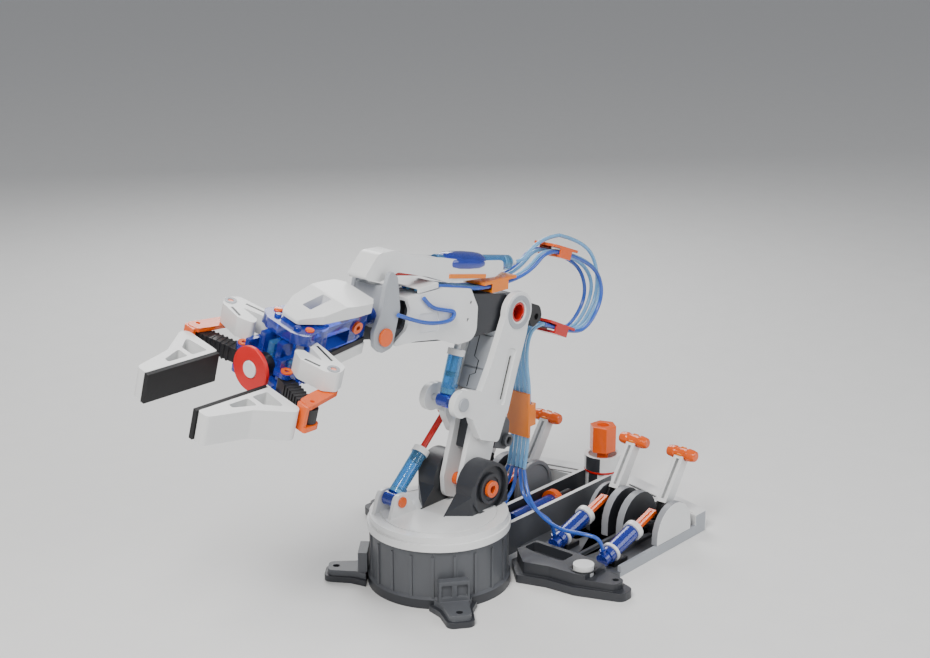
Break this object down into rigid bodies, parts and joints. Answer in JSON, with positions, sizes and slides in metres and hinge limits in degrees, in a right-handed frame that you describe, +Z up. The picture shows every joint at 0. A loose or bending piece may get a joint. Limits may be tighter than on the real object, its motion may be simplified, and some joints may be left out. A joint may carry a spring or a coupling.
{
  "type": "hydraulic robot arm",
  "caption": "Hand-levered hydraulic toy robot arm on a turntable, with a gripper, a suction disc, light-blue hoses and a console of rocking levers behind it.",
  "frame": {"origin": "centre of the turntable's axis, on the plane the feet stand on", "axes": "+Z up along the turntable's axis; +Y from the arm back to the lever console, so the gripper points to -Y; +X to the right of someone at the console who faces the arm's back"},
  "size_m": [0.278, 0.51, 0.2838],
  "materials": {
    "white_plastic": "satin",
    "light_grey_plastic": "satin",
    "grey_plastic": "satin",
    "dark_grey_plastic": "satin",
    "black_plastic": "satin",
    "light_blue_clear": "clear",
    "deep_blue_clear": "clear",
    "orange_clear": "clear",
    "red_clear": "clear",
    "suction_rubber": "satin",
    "pad_rubber": "matte",
    "blue_hose": "clear"
  },
  "bodies": {
    "base": {"drum": "grey_plastic", "front_feet": "grey_plastic", "console_decks": "grey_plastic", "lever_guards": "grey_plastic", "beam_right": "dark_grey_plastic", "beam_left": "dark_grey_plastic", "console_spine": "white_plastic", "swing_barrel": "deep_blue_clear", "pump_barrels": "deep_blue_clear", "lever_pins": "black_plastic", "hose_console": "deep_blue_clear"},
    "turntable": {"turntable": "grey_plastic", "shoulder_brackets": "dark_grey_plastic", "shoulder_pins": "orange_clear"},
    "shoulder_barrel": {"shoulder_barrel": "light_blue_clear"},
    "shoulder_rod": {"shoulder_rod": "red_clear"},
    "upper_arm": {"arm_plate_right": "white_plastic", "arm_plate_left": "white_plastic", "arm_covers": "light_grey_plastic", "arm_hose_combs": "orange_clear", "elbow_pins": "dark_grey_plastic", "hose_arm": "blue_hose"},
    "elbow_barrel": {"elbow_barrel": "light_blue_clear"},
    "elbow_rod": {"elbow_rod": "white_plastic"},
    "forearm": {"forearm_frame": "dark_grey_plastic", "forearm_shells": "white_plastic", "forearm_cover": "white_plastic", "forearm_hose_combs": "orange_clear", "wrist_barrel": "light_blue_clear", "wrist_lever": "white_plastic", "hose_loop": "blue_hose", "hose_wrist": "blue_hose", "hose_gripper": "blue_hose"},
    "wrist": {"wrist_yoke": "light_grey_plastic", "wrist_pins": "orange_clear"},
    "wrist_rod": {"wrist_rod": "red_clear"},
    "hand": {"hand_frame": "deep_blue_clear", "hand_cover": "white_plastic", "hand_rails": "white_plastic", "grip_barrel": "light_blue_clear", "suction_cup": "suction_rubber"},
    "grip_rod": {"grip_rod": "orange_clear"},
    "link_right": {"finger_link_right": "white_plastic"},
    "link_left": {"finger_link_left": "white_plastic"},
    "bar_right": {"finger_bar_right": "black_plastic"},
    "bar_left": {"finger_bar_left": "black_plastic"},
    "finger_right": {"finger_right": "white_plastic", "finger_pad_right": "pad_rubber"},
    "finger_left": {"finger_left": "white_plastic", "finger_pad_left": "pad_rubber"},
    "selector": {"selector_knob": "red_clear"},
    "swing_piston": {"swing_rod": "black_plastic"},
    "lever_1": {"lever_1": "white_plastic"},
    "plunger_1": {"plunger_1": "orange_clear"},
    "lever_2": {"lever_2": "white_plastic"},
    "plunger_2": {"plunger_2": "orange_clear"},
    "lever_3": {"lever_3": "white_plastic"},
    "plunger_3": {"plunger_3": "orange_clear"},
    "lever_4": {"lever_4": "white_plastic"},
    "plunger_4": {"plunger_4": "orange_clear"}
  },
  "joints": [
    {"name": "base_turn", "type": "hinge", "parent": "base", "child": "turntable", "pos_m": [0, 0, 0], "axis": [0, 0, 1], "range_deg": [-100, 100], "deforming": ["hose_console"]},
    {"name": "shoulder", "type": "hinge", "parent": "turntable", "child": "upper_arm", "pos_m": [0, 0.0286, 0.0758], "axis": [1, 0, 0], "range_deg": [-8, 22], "deforming": ["hose_arm"]},
    {"name": "shoulder_cylinder_tilt", "type": "hinge", "parent": "turntable", "child": "shoulder_barrel", "pos_m": [-0.0255, -0.027, 0.07], "axis": [1, 0, 0], "range_deg": [-4.33, 11.03]},
    {"name": "shoulder_cylinder_stroke", "type": "slide", "parent": "shoulder_barrel", "child": "shoulder_rod", "axis": [0, 0.7512, 0.6601], "range_m": [-0.01382, 0.00522]},
    {"name": "elbow", "type": "hinge", "parent": "upper_arm", "child": "forearm", "pos_m": [0, 0.077, 0.2085], "axis": [1, 0, 0], "range_deg": [-38, 1], "deforming": ["hose_loop"]},
    {"name": "elbow_cylinder_tilt", "type": "hinge", "parent": "upper_arm", "child": "elbow_barrel", "pos_m": [0, 0.0086, 0.1487], "axis": [1, 0, 0], "range_deg": [-0.61, 4.58]},
    {"name": "elbow_cylinder_stroke", "type": "slide", "parent": "elbow_barrel", "child": "elbow_rod", "axis": [0, 0.331, 0.9436], "range_m": [-0.00114, 0.03213]},
    {"name": "wrist_pitch", "type": "hinge", "parent": "forearm", "child": "wrist", "pos_m": [0, -0.078, 0.2234], "axis": [1, 0, 0], "range_deg": [0, 45]},
    {"name": "wrist_cylinder_stroke", "type": "slide", "parent": "forearm", "child": "wrist_rod", "axis": [0, 0.9806, -0.1961], "range_m": [-0.0003, 0.01224]},
    {"name": "wrist_roll", "type": "hinge", "parent": "wrist", "child": "hand", "pos_m": [0, -0.088, 0.237], "axis": [0, 1, 0], "range_deg": [-106.5, 73.5]},
    {"name": "grip", "type": "hinge", "parent": "hand", "child": "link_right", "pos_m": [0.00966, -0.156, 0.21328], "axis": [0.284, 0, 0.9588], "range_deg": [-50, 0]},
    {"name": "link_left_turn", "type": "hinge", "parent": "hand", "child": "link_left", "pos_m": [-0.02102, -0.156, 0.22237], "axis": [0.284, 0, 0.9588], "range_deg": [0, 50]},
    {"name": "bar_right_turn", "type": "hinge", "parent": "hand", "child": "bar_right", "pos_m": [0.01541, -0.178, 0.21158], "axis": [0.284, 0, 0.9588], "range_deg": [-50, 0]},
    {"name": "bar_left_turn", "type": "hinge", "parent": "hand", "child": "bar_left", "pos_m": [-0.02677, -0.178, 0.22407], "axis": [0.284, 0, 0.9588], "range_deg": [0, 50]},
    {"name": "finger_right_turn", "type": "hinge", "parent": "bar_right", "child": "finger_right", "pos_m": [0.05044, -0.18847, 0.2012], "axis": [0.284, 0, 0.9588], "range_deg": [0, 50]},
    {"name": "finger_left_turn", "type": "hinge", "parent": "bar_left", "child": "finger_left", "pos_m": [-0.0618, -0.18847, 0.23445], "axis": [0.284, 0, 0.9588], "range_deg": [-50, 0]},
    {"name": "grip_cylinder_stroke", "type": "slide", "parent": "hand", "child": "grip_rod", "axis": [0, -1, 0], "range_m": [-0.0003, 0.00728]},
    {"name": "swing_cylinder_stroke", "type": "slide", "parent": "base", "child": "swing_piston", "axis": [0, 1, 0], "range_m": [-0.0093, 0.0093]},
    {"name": "lever_1_tilt", "type": "hinge", "parent": "base", "child": "lever_1", "pos_m": [-0.096, 0.166, 0.017], "axis": [1, 0, 0], "range_deg": [-0.2, 20.2]},
    {"name": "plunger_1_stroke", "type": "slide", "parent": "base", "child": "plunger_1", "axis": [0, 0.9592, 0.2828], "range_m": [-0.00613, 0.0002]},
    {"name": "lever_2_tilt", "type": "hinge", "parent": "base", "child": "lever_2", "pos_m": [-0.047, 0.166, 0.017], "axis": [1, 0, 0], "range_deg": [-0.2, 9.2]},
    {"name": "plunger_2_stroke", "type": "slide", "parent": "base", "child": "plunger_2", "axis": [0, 0.9592, 0.2828], "range_m": [-0.00287, 0.0002]},
    {"name": "lever_3_tilt", "type": "hinge", "parent": "base", "child": "lever_3", "pos_m": [0.047, 0.166, 0.017], "axis": [1, 0, 0], "range_deg": [-0.68, 18.44]},
    {"name": "plunger_3_stroke", "type": "slide", "parent": "base", "child": "plunger_3", "axis": [0, 0.9592, 0.2828], "range_m": [-0.00561, 0.00034]},
    {"name": "lever_4_tilt", "type": "hinge", "parent": "base", "child": "lever_4", "pos_m": [0.096, 0.166, 0.017], "axis": [1, 0, 0], "range_deg": [-4.2, 11.2]},
    {"name": "plunger_4_stroke", "type": "slide", "parent": "base", "child": "plunger_4", "axis": [0, 0.9592, 0.2828], "range_m": [-0.00346, 0.00139]},
    {"name": "selector_turn", "type": "hinge", "parent": "base", "child": "selector", "pos_m": [0, 0.221, 0.046], "axis": [0, 0, 1], "range_deg": [-60, 60]}
  ],
  "couplings": [
    {"joint": "shoulder_cylinder_tilt", "follows": "shoulder", "ratio": 0.47875},
    {"joint": "shoulder_cylinder_stroke", "follows": "shoulder", "m_per_rad": -0.035213},
    {"joint": "elbow_cylinder_tilt", "follows": "elbow", "ratio": -0.10732},
    {"joint": "elbow_cylinder_stroke", "follows": "elbow", "m_per_rad": -0.048},
    {"joint": "wrist_cylinder_stroke", "follows": "wrist_pitch", "m_per_rad": 0.0152},
    {"joint": "link_left_turn", "follows": "grip", "ratio": -1},
    {"joint": "bar_right_turn", "follows": "grip", "ratio": 1},
    {"joint": "bar_left_turn", "follows": "grip", "ratio": -1},
    {"joint": "finger_right_turn", "follows": "grip", "ratio": -1},
    {"joint": "finger_left_turn", "follows": "grip", "ratio": 1},
    {"joint": "grip_cylinder_stroke", "follows": "grip", "m_per_rad": -0.008},
    {"joint": "swing_cylinder_stroke", "follows": "base_turn", "m_per_rad": 0.005},
    {"joint": "lever_1_tilt", "follows": "grip", "ratio": -0.4},
    {"joint": "plunger_1_stroke", "follows": "grip", "m_per_rad": 0.0068},
    {"joint": "lever_2_tilt", "follows": "wrist_pitch", "ratio": 0.2},
    {"joint": "plunger_2_stroke", "follows": "wrist_pitch", "m_per_rad": -0.0034},
    {"joint": "lever_3_tilt", "follows": "elbow", "ratio": -0.48},
    {"joint": "plunger_3_stroke", "follows": "elbow", "m_per_rad": 0.00816},
    {"joint": "lever_4_tilt", "follows": "shoulder", "ratio": 0.5},
    {"joint": "plunger_4_stroke", "follows": "shoulder", "m_per_rad": -0.0085}
  ]
}
